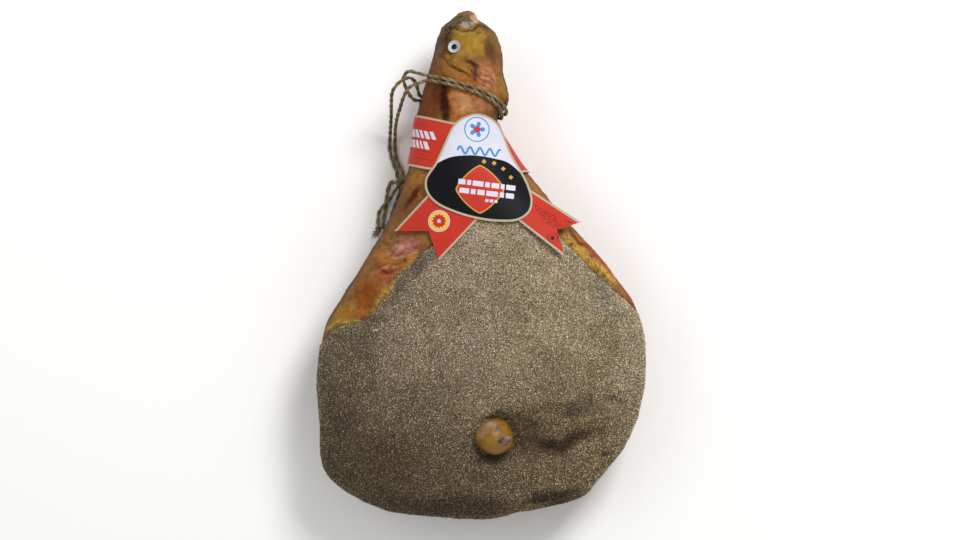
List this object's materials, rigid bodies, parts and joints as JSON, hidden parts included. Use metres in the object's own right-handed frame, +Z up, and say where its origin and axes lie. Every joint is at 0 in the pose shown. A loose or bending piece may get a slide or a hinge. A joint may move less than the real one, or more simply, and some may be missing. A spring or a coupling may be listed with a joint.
{
  "type": "bone-in cured ham",
  "caption": "Whole bone-in cured ham lying on its rind: peppered cut face up, ball of the thigh bone showing, twine round the hock, dished seal and die-cut card label.",
  "frame": {"origin": "on the floor, under the middle of the box round the ham with its label and the twine turns round its shank", "axes": "+Y along the leg to the hock, +Z up out of the peppered cut face, +X to the right when the cut face is seen with the hock up"},
  "size_m": [0.33, 0.508, 0.135],
  "materials": {
    "cured_rind": "satin",
    "pepper_crust": "matte",
    "seal_white": "satin",
    "seal_dark": "satin",
    "label_card": "satin",
    "jute_twine": "matte"
  },
  "bodies": {
    "root": {"ham": "cured_rind", "pepper_crust": "pepper_crust", "seal_washer": "seal_white", "seal_rivet": "seal_dark", "label_collar": "label_card", "twine_wrap": "jute_twine", "twine_outer": "jute_twine", "twine_inner": "jute_twine", "twine_knot": "jute_twine", "twine_loop": "jute_twine", "twine_end": "jute_twine", "twine_end_knot": "jute_twine"}
  },
  "joints": []
}
